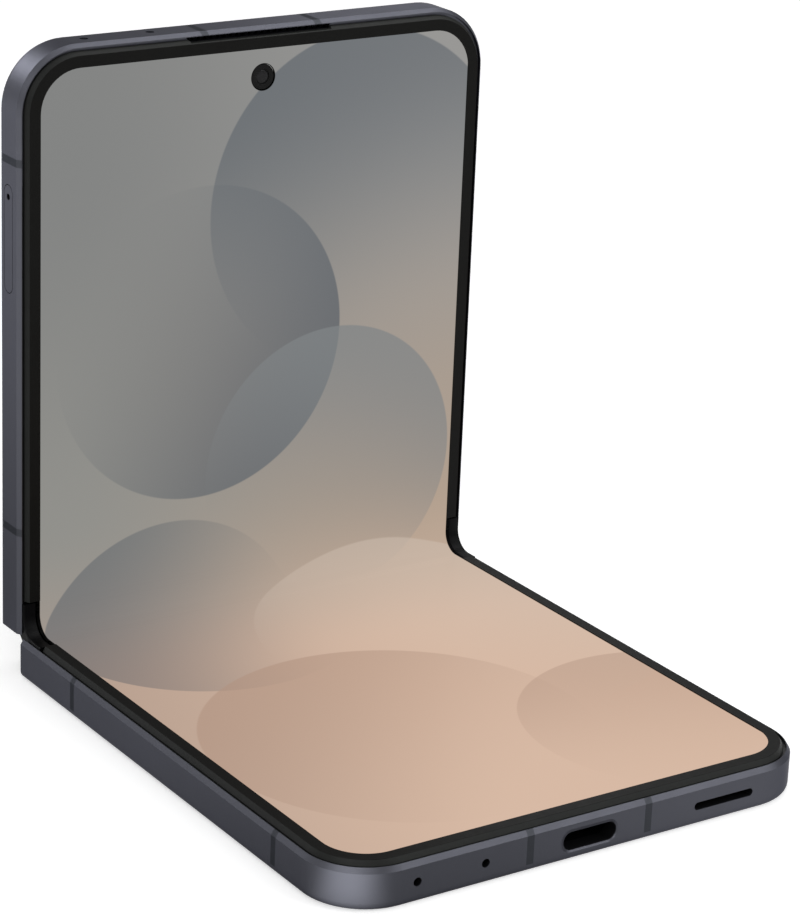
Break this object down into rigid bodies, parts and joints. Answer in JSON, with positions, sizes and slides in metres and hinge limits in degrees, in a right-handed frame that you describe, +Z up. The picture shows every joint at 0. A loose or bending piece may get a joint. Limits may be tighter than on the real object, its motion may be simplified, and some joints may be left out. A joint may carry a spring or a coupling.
{
  "type": "foldable smartphone",
  "caption": "Clamshell smartphone with a flexible inner display, a geared double-axis hinge, a cover display and pressable side keys.",
  "frame": {"origin": "middle of the lower half's flat back, which lies on the table", "axes": "+X along the hinge, to the right of someone facing the open display; +Y from the lower half's free end towards the hinge; +Z up, along the standing upper half"},
  "size_m": [0.0756, 0.091, 0.09],
  "materials": {
    "anodised_frame": "bead-blasted, anodised dark blue-grey",
    "antenna_resin": "matte",
    "trim_plastic": "satin",
    "back_glass": "frosted glass over a dark coat",
    "cover_glass": "polished black-backed glass",
    "folding_display": "glossy screen film, lit",
    "lens_glass": "polished",
    "plate_steel": "brushed",
    "hinge_steel": "machined",
    "gear_steel": "sintered, bright",
    "screw_steel": "bright",
    "cell_pouch": "foil pouch, black print-free",
    "copper_coil": "enamelled copper",
    "circuit_board": "solder mask",
    "module_black": "matte",
    "module_steel": "stamped",
    "flash_lens": "clear amber-white",
    "flex_film": "polyimide amber"
  },
  "bodies": {
    "lower_half": {"lower_frame": "anodised_frame", "lower_antenna_breaks": "antenna_resin", "lower_bezel_trim": "trim_plastic", "lower_back_glass": "back_glass", "lower_display_panel": "folding_display", "lower_display_plate": "plate_steel", "lower_battery": "cell_pouch", "charging_coil": "copper_coil", "charging_board": "circuit_board", "usb_c_receptacle": "module_steel", "loudspeaker": "module_black", "lower_port_seals": "module_black", "lower_hinge_arms": "hinge_steel", "lower_flange_screws": "screw_steel"},
    "upper_half": {"upper_frame": "anodised_frame", "upper_antenna_breaks": "antenna_resin", "upper_bezel_trim": "trim_plastic", "cover_glass": "cover_glass", "cover_display": "cover_glass", "camera_rings": "anodised_frame", "camera_lenses": "lens_glass", "rear_camera_modules": "module_black", "flash_window": "flash_lens", "upper_display_panel": "folding_display", "upper_display_plate": "plate_steel", "upper_battery": "cell_pouch", "main_board": "circuit_board", "shield_cans": "module_steel", "front_camera": "module_black", "front_camera_glass": "lens_glass", "earpiece_receiver": "module_black", "earpiece_mesh": "module_black", "upper_port_seals": "module_black", "vibration_motor": "module_steel", "sim_reader": "module_steel", "side_key_board": "flex_film", "upper_hinge_arms": "hinge_steel", "upper_flange_screws": "screw_steel"},
    "spine": {"hinge_spine": "anodised_frame", "spine_end_caps": "trim_plastic", "hinge_brackets": "hinge_steel", "gear_shafts": "screw_steel", "friction_discs": "gear_steel", "bracket_screws": "screw_steel", "display_fold": "folding_display", "fold_edge_caps": "trim_plastic", "fold_ribbon_cable": "flex_film"},
    "lower_sync": {"lower_sync_arms": "gear_steel"},
    "idler_a": {"idler_gears_a": "gear_steel"},
    "idler_b": {"idler_gears_b": "gear_steel"},
    "idler_c": {"idler_gears_c": "gear_steel"},
    "idler_d": {"idler_gears_d": "gear_steel"},
    "upper_sync": {"upper_sync_arms": "gear_steel"},
    "lower_wing": {"lower_wing_plate": "plate_steel"},
    "upper_wing": {"upper_wing_plate": "plate_steel"},
    "sim_tray": {"sim_tray": "anodised_frame"},
    "volume_key": {"volume_key": "anodised_frame"},
    "power_key": {"power_key": "anodised_frame"}
  },
  "joints": [
    {"name": "lower_fold", "type": "hinge", "parent": "lower_half", "child": "spine", "pos_m": [0, 0.0405, 0.00535], "axis": [1, 0, 0], "range_deg": [-45, 45], "deforming": ["display_fold", "fold_edge_caps", "fold_ribbon_cable"]},
    {"name": "upper_fold", "type": "hinge", "parent": "spine", "child": "upper_half", "pos_m": [0, 0.04262, 0.00747], "axis": [1, 0, 0], "range_deg": [-45, 45]},
    {"name": "lower_sync_turn", "type": "hinge", "parent": "spine", "child": "lower_sync", "pos_m": [0, 0.0405, 0.00309], "axis": [1, 0, 0], "range_deg": [-45, 45]},
    {"name": "idler_a_turn", "type": "hinge", "parent": "spine", "child": "idler_a", "pos_m": [0, 0.04185, 0.00323], "axis": [1, 0, 0], "range_deg": [-45, 45]},
    {"name": "idler_b_turn", "type": "hinge", "parent": "spine", "child": "idler_b", "pos_m": [0, 0.04281, 0.0042], "axis": [1, 0, 0], "range_deg": [-45, 45]},
    {"name": "idler_c_turn", "type": "hinge", "parent": "spine", "child": "idler_c", "pos_m": [0, 0.04378, 0.00516], "axis": [1, 0, 0], "range_deg": [-45, 45]},
    {"name": "idler_d_turn", "type": "hinge", "parent": "spine", "child": "idler_d", "pos_m": [0, 0.04474, 0.00612], "axis": [1, 0, 0], "range_deg": [-45, 45]},
    {"name": "upper_sync_turn", "type": "hinge", "parent": "spine", "child": "upper_sync", "pos_m": [0, 0.04488, 0.00747], "axis": [1, 0, 0], "range_deg": [-45, 45]},
    {"name": "lower_wing_swing", "type": "hinge", "parent": "lower_half", "child": "lower_wing", "pos_m": [0, 0.0347, 0.005], "axis": [1, 0, 0], "range_deg": [-6, 6]},
    {"name": "upper_wing_swing", "type": "hinge", "parent": "upper_half", "child": "upper_wing", "pos_m": [0, 0.04297, 0.01327], "axis": [1, 0, 0], "range_deg": [-6, 6]},
    {"name": "sim_tray_slide", "type": "slide", "parent": "upper_half", "child": "sim_tray", "axis": [-1, 0, 0], "range_m": [0, 0.024]},
    {"name": "volume_key_rock", "type": "hinge", "parent": "upper_half", "child": "volume_key", "pos_m": [0.03655, 0.04507, 0.06397], "axis": [0, 1, 0], "range_deg": [-1, 1], "stiffness_Nm_per_rad": 0.05},
    {"name": "power_key_press", "type": "slide", "parent": "upper_half", "child": "power_key", "axis": [-1, 0, 0], "range_m": [0, 0.0002], "stiffness_N_per_m": 400, "springref_m": -0.0004}
  ],
  "couplings": [
    {"joint": "upper_fold", "follows": "lower_fold", "ratio": 1},
    {"joint": "lower_sync_turn", "follows": "lower_fold", "ratio": -1},
    {"joint": "idler_a_turn", "follows": "lower_fold", "ratio": 1},
    {"joint": "idler_b_turn", "follows": "lower_fold", "ratio": -1},
    {"joint": "idler_c_turn", "follows": "lower_fold", "ratio": 1},
    {"joint": "idler_d_turn", "follows": "lower_fold", "ratio": -1},
    {"joint": "upper_sync_turn", "follows": "lower_fold", "ratio": 1},
    {"joint": "lower_wing_swing", "follows": "lower_fold", "ratio": -0.13333},
    {"joint": "upper_wing_swing", "follows": "lower_fold", "ratio": 0.13333}
  ]
}
